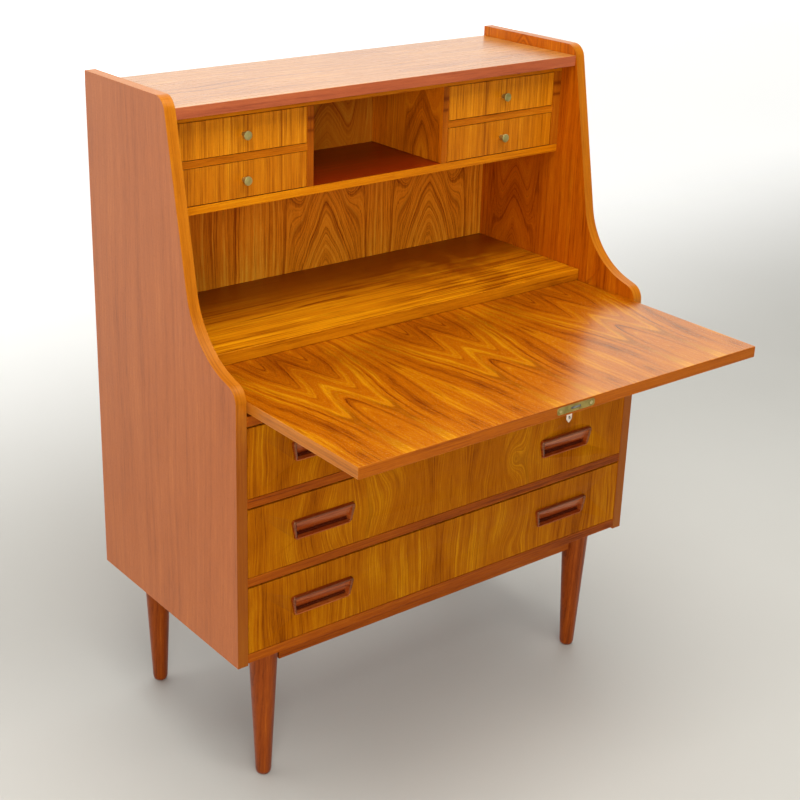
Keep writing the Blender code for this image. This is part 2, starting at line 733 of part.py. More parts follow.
def make_drawer_lock(front, top, datum):
    """A lock let into the back of a drawer front, whose bolt shoots up into the frame above."""
    x = DRAWER_LOCK_X
    width, thickness, height = DRAWER_LOCK_CASE
    depth = drawer_bolt_depth()
    low = (x - width / 2, FRONT_THICKNESS - thickness, top - height)
    high = (x + width / 2, FRONT_THICKNESS, top - DRAWER_LOCK_SUNK)
    pocket_low = [a - GAP for a in low]
    cut_box(front, pocket_low, (high[0] + GAP, FRONT_THICKNESS + CUT_PAST, top + CUT_PAST))
    case = box("drawer_lock", low, high, STEEL, datum)
    bolt_width, bolt_thickness, bolt_height = DRAWER_BOLT
    slot_half = (bolt_width / 2 + BOLT_PLAY, bolt_thickness / 2 + BOLT_PLAY)
    slot_floor = top - bolt_height - 2 * CUT_PAST
    cut_box(
        case,
        (x - slot_half[0], depth - slot_half[1], slot_floor),
        (x + slot_half[0], depth + slot_half[1], top + CUT_PAST),
    )
    bolt_top = top - DRAWER_BOLT_SUNK
    box(
        "drawer_lock_bolt",
        (x - bolt_width / 2, depth - bolt_thickness / 2, bolt_top - bolt_height),
        (x + bolt_width / 2, depth + bolt_thickness / 2, bolt_top),
        BRASS,
        empty("drawer_lock_bolt_slide", (x, depth, bolt_top), datum),
    )
    plate_middle = top - ESCUTCHEON_DROP - ESCUTCHEON_HEIGHT / 2
    cut(front, escutcheon_pocket_mesh(), (x, 0.0, plate_middle))
    keyhole = keyhole_mesh(2 * (FRONT_THICKNESS - thickness + CUT_PAST))
    cut(front, keyhole, (x, 0.0, plate_middle + KEYHOLE_RISE))
    add("drawer_escutcheon", escutcheon_mesh(), (x, 0.0, plate_middle), BONE, datum)


def flap_place(forward, up):
    """Where a point of the flap lies with the flap closed, from its distance forward of the hinge and
    its height above the hinge with the flap open."""
    sine, cosine = math.sin(SIDE_LEAN), math.cos(SIDE_LEAN)
    return (
        PIVOT_DEPTH + forward * sine + up * cosine,
        PIVOT_HEIGHT + forward * cosine - up * sine,
    )


def strike_place():
    """Depth of the middle of the strike plate, where the closed flap's bolt meets the top board."""
    return flap_place(PIVOT_DEPTH + FLAP_REACH + FLAP_BOLT_THROW / 2, 0.0)[0]


def make_strike():
    middle = strike_place()
    width, depth, thickness = STRIKE_PLATE
    plate = box(
        "strike_plate",
        (-width / 2, middle - depth / 2, TOP_LOW),
        (width / 2, middle + depth / 2, TOP_LOW + thickness),
        BRASS,
        DESK,
    )
    half = FLAP_BOLT[0] / 2 + STRIKE_PLAY
    low = TOP_LOW - CUT_PAST
    high = TOP_LOW + thickness + CUT_PAST
    cut_box(plate, (-half, middle - STRIKE_SLOT / 2, low), (half, middle + STRIKE_SLOT / 2, high))


# ---------------------------------------------------------------- flap


def lock_plate_mesh(margin):
    """The lock's face plate about its own middle, upright, or the pocket for it a margin wider."""
    width, thickness, height = LOCK_PLATE
    x = width / 2 + margin
    z = height / 2 + margin
    outline = fillet([(-x, -z), (x, -z), (x, z), (-x, z)], [LOCK_PLATE_ROUND] * 4)
    mesh = slab_mesh("lock_plate", outline, thickness + 2 * margin)
    return remap(mesh, lambda x, y, z: (x, -z, y))


def make_flap():
    hinge = empty("flap_hinge", (0.0, PIVOT_DEPTH, PIVOT_HEIGHT), DESK)
    half = HALF_INSIDE - FLAP_SIDE_GAP
    front = -FLAP_REACH
    low = FLAP_TOP - FLAP_THICKNESS
    flap = box(
        "flap_panel",
        (-half, front, low),
        (half, PIVOT_DEPTH + FLAP_TAIL, FLAP_TOP),
        TEAK_FLAP,
        hinge,
    )
    bevel(flap, BOARD_ROUND)
    for name, side in (("pivot_pin_left", -1), ("pivot_pin_right", 1)):
        bore = cylinder_mesh("pin_bore", PIN_RADIUS + PIN_PLAY, 2 * (PIN_IN_FLAP + GAP), "X")
        cut(flap, bore, (side * half, PIVOT_DEPTH, PIVOT_HEIGHT))
        length = PIN_IN_SIDE + FLAP_SIDE_GAP + PIN_IN_FLAP
        middle = side * (HALF_INSIDE + PIN_IN_SIDE - length / 2)
        pin = cylinder_mesh(name, PIN_RADIUS, length, "X")
        add(name, pin, (middle, PIVOT_DEPTH, PIVOT_HEIGHT), STEEL, hinge)

    plate_thickness = LOCK_PLATE[1]
    case_width, case_depth, case_height = LOCK_CASE
    z = PIVOT_HEIGHT
    plate_place = (0.0, front + plate_thickness / 2, z)
    cut(flap, lock_plate_mesh(GAP), plate_place)
    case_low = (-case_width / 2, front + plate_thickness / 2, z - case_height / 2)
    case_high = (case_width / 2, front + plate_thickness + case_depth, z + case_height / 2)
    cut_box(
        flap,
        (case_low[0] - GAP, front + plate_thickness, case_low[2] - GAP),
        (case_high[0] + GAP, case_high[1] + GAP, case_high[2] + GAP),
    )
    lock = add("flap_lock", lock_plate_mesh(0.0), plate_place, BRASS, hinge)
    case_size = [b - a for a, b in zip(case_low, case_high)]
    case_middle = [(a + b) / 2 for a, b in zip(case_low, case_high)]
    join(lock, box_mesh("lock_case", case_size), case_middle)
    bolt_width, bolt_length, bolt_height = FLAP_BOLT
    slot_half = (bolt_width / 2 + BOLT_PLAY, bolt_height / 2 + BOLT_PLAY)
    cut_box(
        lock,
        (-slot_half[0], front - CUT_PAST, z - slot_half[1]),
        (slot_half[0], front + bolt_length + 2 * CUT_PAST, z + slot_half[1]),
    )
    bolt_front = front + BOLT_PLAY
    box(
        "flap_lock_bolt",
        (-bolt_width / 2, bolt_front, z - bolt_height / 2),
        (bolt_width / 2, bolt_front + bolt_length, z + bolt_height / 2),
        STEEL,
        empty("flap_lock_bolt_slide", (0.0, bolt_front, z), hinge),
    )

    plate_depth = front + ESCUTCHEON_INSET

    def under(mesh):
        """Turns a plate made for an upright face so that it lies under the open flap."""
        return remap(mesh, lambda x, y, z: (x, -z, y))

    place = (0.0, plate_depth, low)
    cut(flap, under(escutcheon_pocket_mesh()), place)
    keyhole = under(keyhole_mesh(FLAP_THICKNESS - case_height + 2 * CUT_PAST))
    cut(flap, keyhole, (0.0, plate_depth - KEYHOLE_RISE, low))
    add("flap_escutcheon", under(escutcheon_mesh()), place, BONE, hinge)


DESK = empty("desk", (0.0, PLAN_CENTRE, 0.0))
make_case()
make_base()
make_organiser()
make_small_drawers()
make_large_drawers()
make_flap()
make_strike()
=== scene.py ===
"""Looks of the teak drop-front secretary desk: oiled teak veneers with their own figure on every board,
aged brass, bone and dark stained pulls, on a plain pale floor in soft light.

Everything is in metres in the desk's own frame: +Z up, the front towards -Y, the floor at z = 0.
"""

import math

import bmesh
import bpy
from mathutils import Matrix, Vector


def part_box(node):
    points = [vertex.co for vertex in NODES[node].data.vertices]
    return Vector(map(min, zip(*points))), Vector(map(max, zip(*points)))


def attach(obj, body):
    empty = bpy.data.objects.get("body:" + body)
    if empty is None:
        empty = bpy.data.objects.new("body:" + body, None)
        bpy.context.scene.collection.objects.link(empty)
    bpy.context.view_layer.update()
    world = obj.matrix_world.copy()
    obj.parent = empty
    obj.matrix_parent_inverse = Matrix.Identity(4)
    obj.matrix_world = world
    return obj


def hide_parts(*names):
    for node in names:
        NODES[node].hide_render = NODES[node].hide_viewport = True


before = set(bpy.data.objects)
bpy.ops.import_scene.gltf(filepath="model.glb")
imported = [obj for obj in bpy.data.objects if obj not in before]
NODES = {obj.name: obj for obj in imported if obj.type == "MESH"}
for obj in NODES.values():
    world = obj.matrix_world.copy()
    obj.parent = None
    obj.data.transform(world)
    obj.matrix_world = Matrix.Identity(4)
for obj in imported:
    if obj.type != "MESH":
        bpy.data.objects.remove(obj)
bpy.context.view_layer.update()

FACE_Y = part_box("drawer_front_middle")[0].y  # front plane of the drawers
DECK_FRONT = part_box("deck")[0].y
NICHE_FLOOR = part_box("organiser_base")[1].z

# ---------------------------------------------------------------- colours and shader fields


def srgb(red, green, blue):
    """A linear colour from one given as it looks on screen, 0 to 255."""
    shares = [value / 255 for value in (red, green, blue)]
    linear = [((c + 0.055) / 1.055) ** 2.4 if c > 10 / 255 else c / 12.92 for c in shares]
    return (*linear, 1.0)


class Field:
    """A value that varies over a surface; arithmetic on it makes shader nodes."""

    def __init__(self, tree, socket):
        self.tree = tree
        self.socket = socket

    def math(self, operation, *others, clamp=False):
        node = self.tree.nodes.new("ShaderNodeMath")
        node.operation = operation
        node.use_clamp = clamp
        for slot, value in zip(node.inputs, (self, *others)):
            connect(self.tree, slot, value)
        return Field(self.tree, node.outputs[0])

    def __add__(self, other):
        return self.math("ADD", other)

    def __sub__(self, other):
        return self.math("SUBTRACT", other)

    def __mul__(self, other):
        return self.math("MULTIPLY", other)

    def __pow__(self, other):
        return self.math("POWER", other)

    def __neg__(self):
        return self.math("MULTIPLY", -1.0)

    def __abs__(self):
        return self.math("ABSOLUTE")

    def step(self, low, high, start=0.0, end=1.0):
        """Rises smoothly from start to end as the field goes from low to high."""
        node = self.tree.nodes.new("ShaderNodeMapRange")
        node.interpolation_type = "SMOOTHSTEP"
        for slot, value in zip(node.inputs[:5], (self, low, high, start, end)):
            connect(self.tree, slot, value)
        return Field(self.tree, node.outputs[0])

    def bump(self, middle, width):
        """A bell of height 1 about a middle."""
        offset = (self - middle) * (1.0 / width)
        return (-(offset * offset)).math("EXPONENT")


def connect(tree, slot, value):
    if isinstance(value, Field):
        tree.links.new(value.socket, slot)
    else:
        slot.default_value = value


def noise(x, y, z=0.0, detail=2.0, roughness=0.5):
    """Smooth noise about 0.5 of up to three fields, already scaled to one wave per unit."""
    tree = x.tree
    joined = tree.nodes.new("ShaderNodeCombineXYZ")
    for slot, value in zip(joined.inputs, (x, y, z)):
        connect(tree, slot, value)
    node = tree.nodes.new("ShaderNodeTexNoise")
    node.noise_dimensions = "3D"
    tree.links.new(joined.outputs[0], node.inputs["Vector"])
    node.inputs["Scale"].default_value = 1.0
    node.inputs["Detail"].default_value = detail
    node.inputs["Roughness"].default_value = roughness
    return Field(tree, node.outputs["Fac"])


def scaled(colour, *shares):
    """A colour with its red, green and blue multiplied."""
    return (*(c * share for c, share in zip(colour[:3], shares)), 1.0)


def blend(tree, share, first, second):
    """Colour that goes from first to second."""
    node = tree.nodes.new("ShaderNodeMix")
    node.data_type = "RGBA"
    connect(tree, node.inputs[0], share)
    connect(tree, node.inputs[6], first)
    connect(tree, node.inputs[7], second)
    return Field(tree, node.outputs[2])


def place(tree):
    """The x, y and z of the surface at rest, in the desk's frame."""
    coordinates = tree.nodes.new("ShaderNodeTexCoord")
    split = tree.nodes.new("ShaderNodeSeparateXYZ")
    tree.links.new(coordinates.outputs["Object"], split.inputs[0])
    return [Field(tree, slot) for slot in split.outputs]


def surface(name):
    """A new material, its node tree and its shader."""
    made = bpy.data.materials.new(name)
    made.use_nodes = True
    return made, made.node_tree, made.node_tree.nodes["Principled BSDF"]


def relief(tree, shader, height, distance):
    node = tree.nodes.new("ShaderNodeBump")
    node.inputs["Strength"].default_value = 1.0
    node.inputs["Distance"].default_value = distance
    tree.links.new(height.socket, node.inputs["Height"])
    tree.links.new(node.outputs[0], shader.inputs["Normal"])


# ---------------------------------------------------------------- teak

GRAIN_INPUTS = ("ring", "along", "across", "seed", "rag")
GRAIN_OUTPUTS = ("bands", "lines", "fibres", "streaks", "pores")

# waves per metre, across the rings or the board and then along the grain
WAVER = (60.0, 9.0)
RAGGED = (800.0, 40.0)
BANDS = (75.0, 0.8)
LINES = (330.0, 2.0)
FIBRES = (1500.0, 14.0)
COARSE_FIBRES = (420.0, 26.0)
CONTOURS = (62.0, 0.9)
FADING = (32.0, 8.0)
HAIRS = (620.0, 3.0)
PORES = (2600.0, 170.0)
PATCHES = (16.0, 5.0)

STREAK_WIDTH = 0.030
HAIR_SHARE = 0.45
PORE_SHARE = 0.30
FIBRE_RELIEF = 0.00004  # metres

OIL_TINT = (1.0, 0.70, 0.34, 1.0)
FLAP_TINT = (1.0, 0.7, 0.1, 1.0)
WHITE = (1.0, 1.0, 1.0, 1.0)


def waves(across, along, rates, seed, **detail):
    """Noise with its own number of waves per metre each way."""
    return noise(across * rates[0], along * rates[1], seed, **detail)


def teak_group():
    """Shared grain: growth bands, lines, fibres, dark streaks and pores of a board, from a ring
    coordinate that counts metres across the growth rings and from the place along and across the
    grain."""
    group = bpy.data.node_groups.new("teak_grain", "ShaderNodeTree")
    for name in GRAIN_INPUTS:
        group.interface.new_socket(name, in_out="INPUT", socket_type="NodeSocketFloat")
    for name in GRAIN_OUTPUTS:
        group.interface.new_socket(name, in_out="OUTPUT", socket_type="NodeSocketFloat")
    source = group.nodes.new("NodeGroupInput")
    ring, along, across, seed, rag = (Field(group, source.outputs[i]) for i in range(5))
    waver = waves(across, along, WAVER, seed, detail=3.0)
    ragged = waves(across, along, RAGGED, seed + 1.0, detail=2.0)
    ring = ring + (waver - 0.5) * rag + (ragged - 0.5) * rag
    bands = waves(ring, along, BANDS, seed, detail=2.0, roughness=0.6)
    lines = waves(ring, along, LINES, seed + 3.0, detail=3.0, roughness=0.65)
    fibres = waves(ring, along, FIBRES, seed + 5.0, detail=2.0, roughness=0.7) * 0.5
    coarse = waves(across, along, COARSE_FIBRES, seed + 6.0, detail=3.0, roughness=0.65)
    fibres = fibres + coarse * 0.5
    contours = abs(waves(ring, along, CONTOURS, seed + 7.0, detail=2.0, roughness=0.55) - 0.5)
    fading = waves(ring, along, FADING, seed + 9.0, detail=2.0).step(0.36, 0.64)
    hairs = waves(ring, along, HAIRS, seed + 13.0, detail=1.0).step(0.62, 0.78)
    streaks = contours.step(0.0, STREAK_WIDTH, 1.0, 0.0) * fading + hairs * HAIR_SHARE
    pores = waves(across, along, PORES, seed, detail=1.0).step(0.60, 0.72)
    sink = group.nodes.new("NodeGroupOutput")
    for slot, field in zip(sink.inputs, (bands, lines, fibres, streaks, pores)):
        group.links.new(field.socket, slot)
    return group


GRAIN = teak_group()


def grain(ring, *others):
    tree = ring.tree
    node = tree.nodes.new("ShaderNodeGroup")
    node.node_tree = GRAIN
    for slot, value in zip(node.inputs, (ring, *others)):
        connect(tree, slot, value)
    return [Field(tree, slot) for slot in node.outputs]


def teak(
    name,
    rule,
    tones,
    seed,
    mix=(1.0, 1.0, 0.8),
    streak=0.3,
    gloss=0.34,
    mirror=0.5,
    rag=0.0022,
    cloud=0.5,
    tint=OIL_TINT,
    shade=None,
):
    """A teak veneer. rule(x, y, z) gives its (ring, along, across) fields and tones its dark, middle
    and light colours. mix is the shares of growth bands, lines and fibres, streak that of the dark
    streaks, gloss the roughness, mirror the specular level, rag how far the lines stray and cloud the
    share of wide patches. shade(x, y, z), if given, is a field that darkens and reddens the wood where
    it is above 0."""
    made, tree, shader = surface(name)
    dark, middle, light = (srgb(*tone) for tone in tones)
    x, y, z = place(tree)
    ring, along, across = rule(x, y, z)
    bands, lines, fibres, streaks, pores = grain(ring, along, across, seed, rag)
    tone = (bands - 0.5) * mix[0] + (lines - 0.5) * mix[1] + (fibres - 0.5) * mix[2]
    patches = waves(ring, along, PATCHES, seed + 11.0, detail=2.0)
    tone = tone + (patches - 0.5) * cloud + 0.5
    colour = blend(tree, tone.step(0.02, 0.52), dark, middle)
    colour = blend(tree, tone.step(0.46, 1.0), colour, light)
    colour = blend(tree, streaks * streak, colour, dark)
    colour = blend(tree, pores * PORE_SHARE, colour, scaled(dark, 0.45, 0.45, 0.45))
    if shade:
        colour = blend(tree, shade(x, y, z), colour, scaled(dark, 0.85, 0.6, 0.5))
    tree.links.new(colour.socket, shader.inputs["Base Color"])
    shader.inputs["Specular IOR Level"].default_value = mirror
    shader.inputs["Specular Tint"].default_value = tint
    rough = (lines - 0.5) * 0.10 + (pores * 0.14 + gloss)
    tree.links.new(rough.socket, shader.inputs["Roughness"])
    relief(tree, shader, fibres * 0.5 + pores * -1.0, FIBRE_RELIEF)
    return made


# ---------------------------------------------------------------- how the growth rings lie in a board


def stripes(across_axis, along_axis, sway=0.012, seed=0.0):
    """Straight grain along one axis, with a slow sway."""

    def rule(x, y, z):
        axes = {"x": x, "y": y, "z": z}
        across, along = axes[across_axis], axes[along_axis]
        ring = across + (noise(across * 7.0, along * 2.2, seed, detail=1.0) - 0.5) * sway
        return ring, along, across

    return rule


RIBBON_SWAY = 0.006


def ribbons(across_axis, along_axis, closeness, seed):
    """Quartered grain: fine, nearly parallel ribbons."""

    def rule(x, y, z):
        axes = {"x": x, "y": y, "z": z}
        across, along = axes[across_axis], axes[along_axis]
        sway = (noise(across * 6.0, along * 3.0, seed, detail=1.0) - 0.5) * RIBBON_SWAY
        return across * closeness + sway, along, across

    return rule


def wild(across_axis, along_axis, sway, seed):
    """Grain with wide swirls, arcs and eyes."""

    def rule(x, y, z):
        axes = {"x": x, "y": y, "z": z}
        across, along = axes[across_axis], axes[along_axis]
        swirl = (noise(across * 9.0, along * 4.0, seed, detail=1.0) - 0.5) * sway
        return across + swirl, along, across

    return rule


ARCH_POWER = 1.3  # 1 makes pointed arches, 2 round ones


def corner(half, depth):
    """Joins the distance beside an arch's centre line with its depth into one ring coordinate."""
    return (half**ARCH_POWER + depth**ARCH_POWER) ** (1 / ARCH_POWER)


def arches(across_axis, along_axis, centres, foot, spread, rise, seed=0.0):
    """Cathedral figure: arches about each centre line that open towards the foot and close away from it,
    and straight grain further off than the spread."""

    def rule(x, y, z):
        axes = {"x": x, "y": y, "z": z}
        across, along = axes[across_axis], axes[along_axis]
        sway = noise(across * 9.0, along * 4.0, seed, detail=2.0) - 0.5
        half = abs(across - centres[0])
        for centre in centres[1:]:
            half = half.math("MINIMUM", abs(across - centre))
        half = abs(half + sway * 0.016)
        depth = (along - foot) * rise + sway * 0.03
        depth = depth.math("MAXIMUM", 0.0) * half.step(spread * 0.5, spread * 1.2, 1.0, 0.0) + 0.001
        return corner(half, depth), along, across

    return rule


LEAF = 0.1462  # width of one veneer leaf of the flap
LEAF_MIRROR = 0.0059  # a line where two leaves mirror each other
FLAME_OFFSET = 0.040  # from that line to the middle of a flame


def flap_rule(x, y, z):
    """Book-matched flame figure that points to the front edge and runs out in straight grain."""
    leaf = (x - LEAF_MIRROR).math("PINGPONG", LEAF)
    out = -(y - DECK_FRONT)  # distance in front of the deck
    sway = noise(leaf * 17.0, out * 8.0, 4.0, detail=3.0) - 0.5
    rough = out.step(0.0, 0.20, 0.030, 0.010)  # the figure is restless near the deck
    depth = out.step(-0.08, 0.33, 0.0, 0.060) + sway * rough
    half = (leaf * leaf + 0.0001) ** 0.5 - FLAME_OFFSET + sway * rough * 0.45
    half = (half * half + 0.00001) ** 0.5  # rounded tips
    depth = depth.math("MAXIMUM", 0.0) * half.step(0.04, 0.12, 1.0, 0.45) + 0.001
    return corner(half, depth), out, leaf


def flap_patina_and_painted_shade(x, y, z):
    """Redder and darker towards the deck, in patches: partly the wood's patina, partly painted shade
    near the deck.
    """
    patches = noise(x * 9.0, y * 7.0, 1.0, detail=2.0)
    return y.step(-0.16, 0.06) * patches.step(0.3, 0.7, 0.10, 0.45)


def deck_rear_shade_and_patch(x, y, z):
    """Darker and redder at the back of the deck, which is painted shade under the organiser, and in a
    patch at its right.
    """
    patch = x.bump(0.24, 0.14) * noise(x * 14.0, y * 18.0, 2.0, detail=2.0).step(0.40, 0.60)
    return (y.step(0.12, 0.30, 0.0, 0.85) + patch * 0.42).math("MINIMUM", 0.9)


DRAWER_CLOSENESS = 1.15


def drawer_rule(centre, eyes, seed, sway):
    """Upright grain, mirrored about a seam, with swirls, and eyes given as (x, z, width, strength)."""

    def rule(x, y, z):
        leaf = abs(x - centre)
        swirl = (noise(leaf * 9.0, z * 6.0, seed, detail=1.5) - 0.5) * sway
        ring = leaf + swirl
        for eye_x, eye_z, width, strength in eyes:
            ring = ring + x.bump(eye_x, width) * z.bump(eye_z, width * 1.5) * strength
        return ring * DRAWER_CLOSENESS, z, x

    return rule


def niche_painted_shade(x, y, z):
    """Painted shade: darker inside the pigeonhole, and towards the left."""
    niche = z.step(NICHE_FLOOR - 0.01, NICHE_FLOOR, 0.0, 0.5)
    return niche + x.step(-0.32, -0.08, 0.26, 0.0)


def edge_painted_shade(x, y, z):
    """Painted shade: darker on the upright part of the edge, low down."""
    return z.step(0.60, 0.76, 0.6, 0.0)


def end_knots(x, y, z):
    """Two small dark knots in the front edge of the organiser's end."""
    return (z.bump(1.0835, 0.0045) + z.bump(1.0635, 0.0030)) * 0.8


def pull_hollow_shade_and_rim(x, y, z):
    """Dark at the bottom of the hollow, which is painted shade, and darker on the proud rim."""
    hollow = y.step(FACE_Y + 0.0044, FACE_Y + 0.0076, 0.0, 0.93)
    return hollow + y.step(FACE_Y - 0.0034, FACE_Y - 0.0014, 0.6, 0.0)


FRONT_TONES = ((118, 50, 0), (174, 95, 2), (208, 136, 8))
FRONT_MIX = (0.4, 1.2, 1.2)
TOP_EYES = ((-0.28, 0.66, 0.05, 0.03),)
MIDDLE_EYES = ((0.141, 0.479, 0.022, 0.034), (-0.276, 0.47, 0.05, -0.04), (-0.11, 0.49, 0.045, 0.03))
BOTTOM_EYES = ((0.14, 0.30, 0.03, 0.025),)

WOODS = {
    "flap": teak(
        "teak_flap_figured",
        flap_rule,
        ((100, 34, 0), (172, 90, 2), (206, 138, 10)),
        seed=2.0,
        mix=(1.4, 0.9, 1.2), streak=0.65, gloss=0.25, mirror=1.0, rag=0.0016, cloud=0.8,
        tint=FLAP_TINT, shade=flap_patina_and_painted_shade,
    ),
    "lipping": teak(
        "teak_lipping",
        stripes("z", "x", 0.004),
        ((118, 46, 2), (166, 84, 8), (190, 106, 18)),
        seed=31.0,
        mix=(0.8, 0.9, 1.4), streak=0.35, mirror=0.15,
    ),
    # partly painted sheen: a whitish tint is mixed into the front edge's tones
    "top_edge": teak(
        "teak_top_edge",
        stripes("z", "x", 0.004),
        ((126, 54, 28), (166, 82, 44), (186, 102, 56)),
        seed=37.0,
        mix=(0.8, 0.9, 1.4), streak=0.35, mirror=0.5, tint=WHITE,
    ),
    "lipping_y": teak(
        "teak_lipping_side",
        stripes("z", "y", 0.004),
        ((150, 76, 20), (200, 116, 30), (222, 140, 46)),
        seed=33.0,
        mix=(0.8, 1.0, 1.0), streak=0.35, mirror=0.4,
    ),
    "edge": teak(
        "teak_side_edge",
        stripes("x", "z", 0.004),
        ((140, 70, 4), (178, 101, 14), (200, 128, 26)),
        seed=35.0,
        mix=(0.8, 0.9, 1.4), streak=0.35, mirror=0.3, rag=0.0012, shade=edge_painted_shade,
    ),
    "end": teak(
        "teak_organiser_end",
        stripes("x", "z", 0.004),
        ((112, 48, 2), (160, 80, 6), (190, 112, 16)),
        seed=38.0,
        mix=(0.8, 0.9, 1.4), streak=0.35, mirror=0.2, rag=0.0012, shade=end_knots,
    ),
    "deck": teak(
        "teak_deck",
        ribbons("y", "x", 0.8, 6.0),
        ((112, 42, 0), (196, 117, 4), (226, 154, 12)),
        seed=6.0,
        mix=(0.9, 1.9, 0.5), streak=0.9, gloss=0.30, mirror=0.35, rag=0.0004, cloud=0.5,
        shade=deck_rear_shade_and_patch,
    ),
    "deck_edge": teak(
        "teak_deck_edge",
        stripes("z", "x", 0.003, 6.0),
        ((116, 50, 0), (184, 106, 4), (206, 134, 12)),
        seed=36.0,
        mix=(0.8, 1.0, 1.2), streak=0.35, mirror=0.2,
    ),
    # partly painted reflection: the pale, neutral tones carry some of the room's white sheen as well as
    # the wood's colour
    "top": teak(
        "teak_top",
        wild("y", "x", 0.05, 3.0),
        ((128, 72, 20), (172, 112, 44), (196, 140, 64)),
        seed=9.0,
        mix=(0.9, 0.9, 1.5), streak=0.25, gloss=0.28, mirror=1.0, tint=WHITE,
    ),
    "under": teak(
        "teak_outer_face",
        wild("x", "y", 0.07, 6.0),
        FRONT_TONES,
        seed=10.0,
        mix=(0.6, 1.2, 1.2), streak=0.35, gloss=0.30, rag=0.0012, cloud=0.9,
    ),
    # partly painted sheen: the pale, pinkish tones carry a whitish reflection as well as the wood's
    # colour
    "side": teak(
        "teak_outer",
        stripes("y", "z", 0.04, 5.0),
        ((154, 76, 34), (184, 98, 48), (202, 116, 60)),
        seed=12.0,
        mix=(0.8, 0.3, 1.5), streak=0.06, gloss=0.40, mirror=0.5,
    ),
    "inner": teak(
        "teak_inner_side",
        arches("y", "z", (0.25,), 0.70, 0.06, 0.42, 8.0),
        ((130, 50, 0), (188, 92, 4), (212, 124, 10)),
        seed=14.0,
        mix=(1.1, 0.9, 1.4), streak=0.5, mirror=0.2,
    ),
    "niche": teak(
        "teak_pigeonhole_wall",
        arches("y", "z", (0.20,), 0.98, 0.05, 0.42, 9.0),
        ((144, 60, 0), (212, 112, 8), (232, 144, 16)),
        seed=15.0,
        mix=(1.1, 0.9, 1.4), streak=0.5, mirror=0.2,
    ),
    "back": teak(
        "teak_back",
        arches("x", "z", (0.035, 0.284), 0.72, 0.09, 0.40, 2.0),
        ((140, 62, 2), (220, 130, 20), (240, 176, 50)),
        seed=16.0,
        mix=(1.0, 1.5, 1.2), streak=0.6, mirror=0.3, rag=0.0016, shade=niche_painted_shade,
    ),
    "rear": teak(
        "teak_rear_face",
        stripes("x", "z", 0.03, 9.0),
        ((124, 64, 24), (156, 88, 38), (174, 108, 52)),
        seed=17.0,
        mix=(1.0, 0.9, 0.8), streak=0.4, gloss=0.5, mirror=0.3,
    ),
    # painted light: the upper row's tones are lighter, to make up for the top board's shadow on it
    "small_upper": teak(
        "teak_small_drawers_upper",
        ribbons("x", "z", 2.0, 1.0),
        ((134, 62, 0), (204, 122, 8), (234, 158, 28)),
        seed=21.0,
        mix=(0.9, 1.7, 1.2), streak=0.75, gloss=0.36, mirror=0.3, rag=0.0010,
    ),
    # painted shade: the lower row's tones are darker than the upper row's
    "small_lower": teak(
        "teak_small_drawers_lower",
        ribbons("x", "z", 2.0, 1.0),
        ((122, 54, 0), (186, 106, 6), (216, 142, 20)),
        seed=21.0,
        mix=(0.9, 1.7, 1.2), streak=0.75, gloss=0.36, mirror=0.3, rag=0.0010,
    ),
    "organiser": teak(
        "teak_organiser",
        stripes("z", "x", 0.004, 2.0),
        ((140, 66, 0), (196, 114, 4), (220, 142, 12)),
        seed=23.0,
        mix=(0.8, 0.9, 1.3), streak=0.35, mirror=0.2,
    ),
    "shelf": teak(
        "teak_shelves",
        stripes("z", "x", 0.004, 4.0),
        ((130, 58, 0), (180, 98, 6), (206, 126, 20)),
        seed=26.0,
        mix=(0.8, 0.9, 1.4), streak=0.35, mirror=0.2,
    ),
    # partly painted shade: the dark red tones stand for the wood and for the shade inside the pigeonhole
    "red": teak(
        "teak_pigeonhole_floor",
        stripes("y", "x", 0.012, 3.0),
        ((84, 12, 0), (124, 30, 2), (154, 52, 6)),
        seed=24.0,
        mix=(0.9, 1.2, 1.5), streak=0.4, mirror=0.3,
    ),
    "solid": teak(
        "teak_rails",
        stripes("z", "x", 0.004, 7.0),
        ((104, 34, 0), (158, 72, 2), (188, 98, 6)),
        seed=25.0,
        mix=(0.8, 0.9, 1.4), streak=0.4, gloss=0.36, mirror=0.15,
    ),
    "ledge": teak(
        "teak_ledge",
        ribbons("y", "x", 0.8, 7.0),
        ((104, 34, 0), (158, 72, 2), (188, 98, 6)),
        seed=28.0,
        mix=(0.8, 0.9, 1.2), streak=0.5, gloss=0.34, mirror=0.3, rag=0.0008,
    ),
    "leg": teak(
        "teak_legs",
        stripes("x", "z", 0.008, 4.0),
        ((92, 28, 2), (144, 60, 8), (180, 90, 18)),
        seed=27.0,
        mix=(1.3, 1.0, 1.5), streak=0.5, gloss=0.32, mirror=0.3,
    ),
    "front_top": teak(
        "teak_front_top",
        drawer_rule(0.0, TOP_EYES, 3.3, 0.04),
        FRONT_TONES,
        seed=41.0,
        mix=FRONT_MIX, streak=0.35, gloss=0.36, mirror=0.04, rag=0.0012, cloud=1.0,
    ),
    "front_middle": teak(
        "teak_front_middle",
        drawer_rule(0.0, MIDDLE_EYES, 5.7, 0.05),
        FRONT_TONES,
        seed=43.0,
        mix=FRONT_MIX, streak=0.35, gloss=0.36, mirror=0.04, rag=0.0012, cloud=1.0,
    ),
    "front_bottom": teak(
        "teak_front_bottom",
        drawer_rule(-0.021, BOTTOM_EYES, 8.1, 0.03),
        FRONT_TONES,
        seed=45.0,
        mix=FRONT_MIX, streak=0.35, gloss=0.36, mirror=0.04, rag=0.0012, cloud=1.0,
    ),
    "pull": teak(
        "teak_pull",
        stripes("z", "x", 0.004, 3.0),
        ((76, 14, 4), (156, 66, 22), (200, 112, 44)),
        seed=51.0,
        mix=(0.7, 0.8, 1.2), streak=0.4, gloss=0.16, mirror=1.0, shade=pull_hollow_shade_and_rim,
    ),
    "box": teak(
        "beech_boxes",
        stripes("z", "y", 0.01, 6.0),
        ((196, 160, 110), (214, 182, 134), (226, 198, 154)),
        seed=53.0,
        mix=(0.6, 0.6, 0.7), streak=0.1, gloss=0.5,
    ),
}


